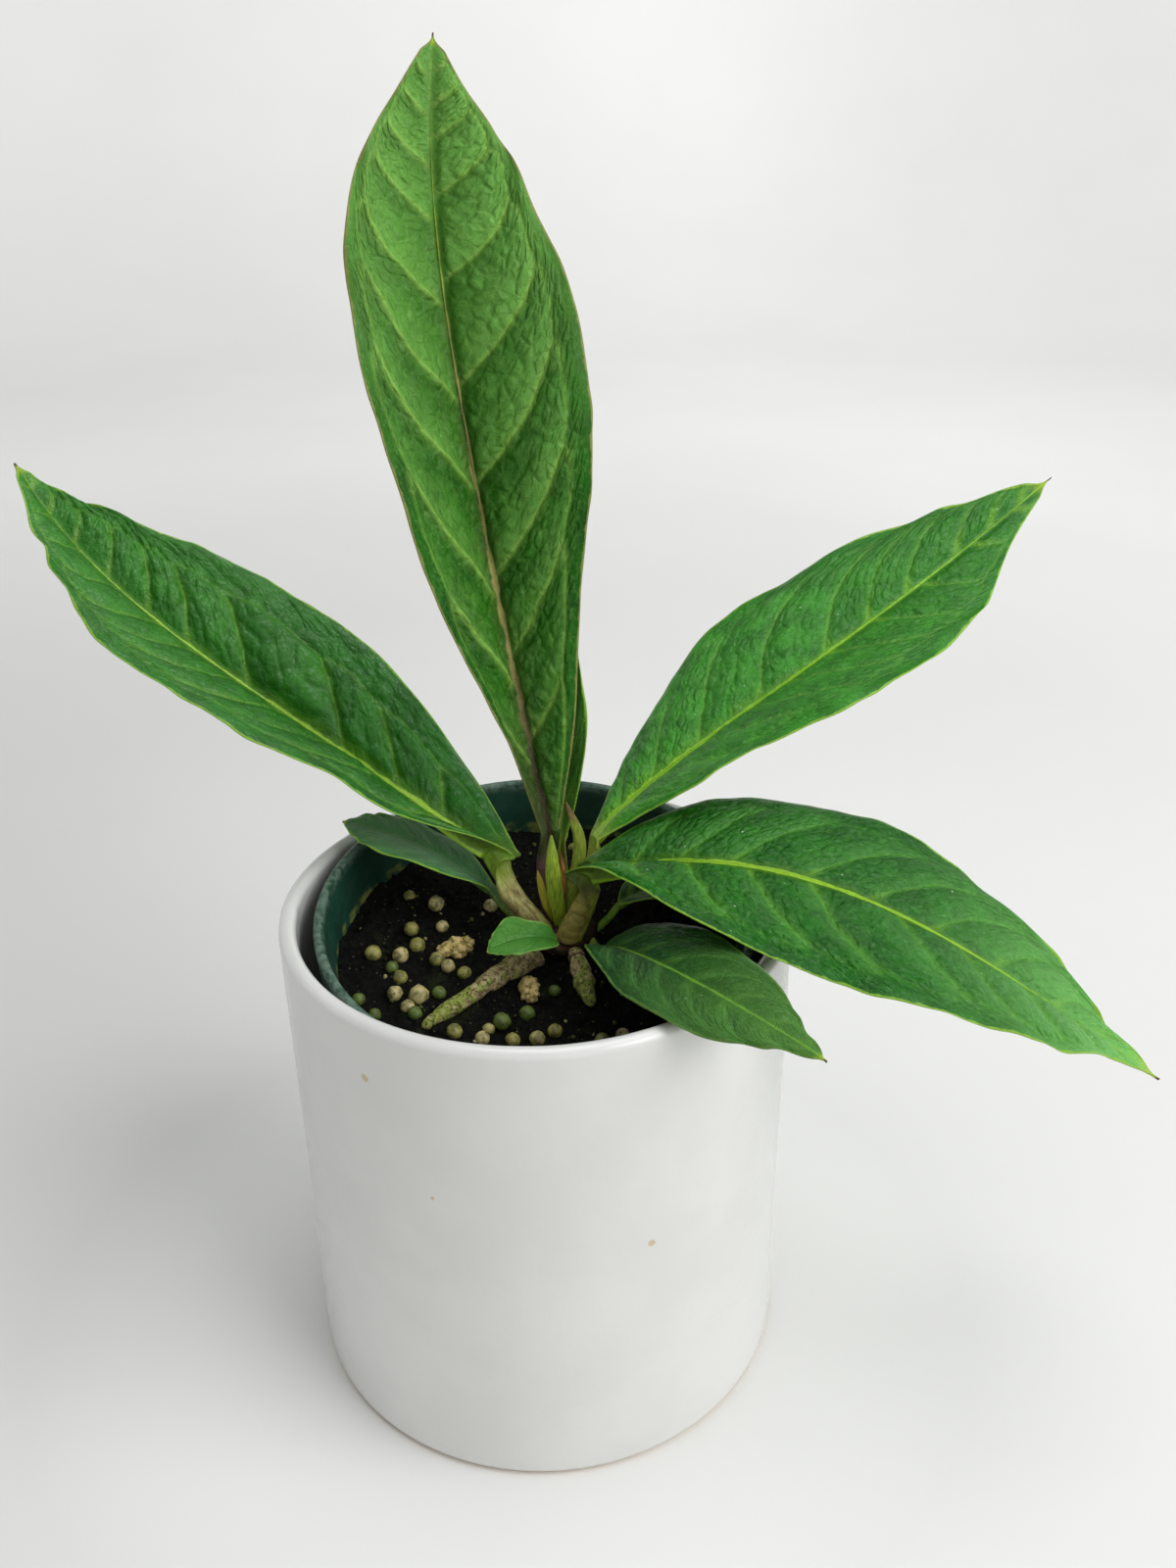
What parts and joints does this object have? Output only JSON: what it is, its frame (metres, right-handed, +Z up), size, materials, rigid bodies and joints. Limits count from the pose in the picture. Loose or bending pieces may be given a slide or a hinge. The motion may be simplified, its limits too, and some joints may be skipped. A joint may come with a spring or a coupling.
{
  "type": "potted anthurium",
  "caption": "Bird's-nest type anthurium with long puckered leaves on a short stem, in a green nursery pot set in a white cylindrical ceramic cachepot.",
  "frame": {"origin": "centre of the cachepot's flat foot, on the surface it stands on", "axes": "+Z up along the cachepot's axis; -Y is the front that faces the viewer; +X to the viewer's right"},
  "size_m": [0.2787, 0.1568, 0.3053],
  "materials": {
    "glaze": "white gloss glaze",
    "green_plastic": "dark green, satin",
    "soil": "dark moist potting mix of peat and bark",
    "leaf": "fresh leaf, satin",
    "young_leaf": "young leaf, satin",
    "sheath": "fresh bud sheath, yellow-green",
    "dry_sheath": "dry papery sheath",
    "bark": "rough brown stem",
    "root": "tan corky root"
  },
  "bodies": {
    "root": {"cachepot": "glaze", "nursery_pot": "green_plastic", "soil": "soil", "stem": "bark", "root_left": "root", "root_front": "root", "leaf_tall": "leaf", "leaf_left": "leaf", "leaf_right": "leaf", "leaf_arching": "leaf", "leaf_small_left": "young_leaf", "leaf_small_front": "young_leaf", "leaf_narrow_back": "young_leaf", "leaf_small_right": "young_leaf", "leaf_small_folded": "young_leaf", "sheath_front": "sheath", "sheath_right": "sheath", "sheath_small": "sheath", "sheath_dry": "dry_sheath"}
  },
  "joints": []
}
